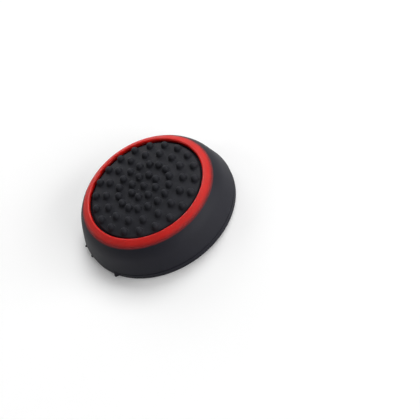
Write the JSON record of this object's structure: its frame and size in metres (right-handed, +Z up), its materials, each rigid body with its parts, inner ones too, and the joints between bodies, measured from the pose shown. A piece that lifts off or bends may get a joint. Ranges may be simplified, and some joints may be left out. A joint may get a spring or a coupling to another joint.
{
  "type": "controller thumb grip",
  "caption": "Round silicone grip that stretches over a game controller's thumb stick, with a nubbed pad, a coloured ring round it and a flared skirt.",
  "frame": {"origin": "on the axis, at the flat foot that the grip rests on", "axes": "+Z up the axis, from the socket's mouth to the nubbed pad, with a nub of the first row beside +X"},
  "size_m": [0.024, 0.024, 0.0069],
  "materials": {
    "black_silicone": "matte moulded",
    "red_silicone": "satin moulded"
  },
  "bodies": {
    "root": {"cap_body": "black_silicone", "accent_ring": "red_silicone"}
  },
  "joints": []
}
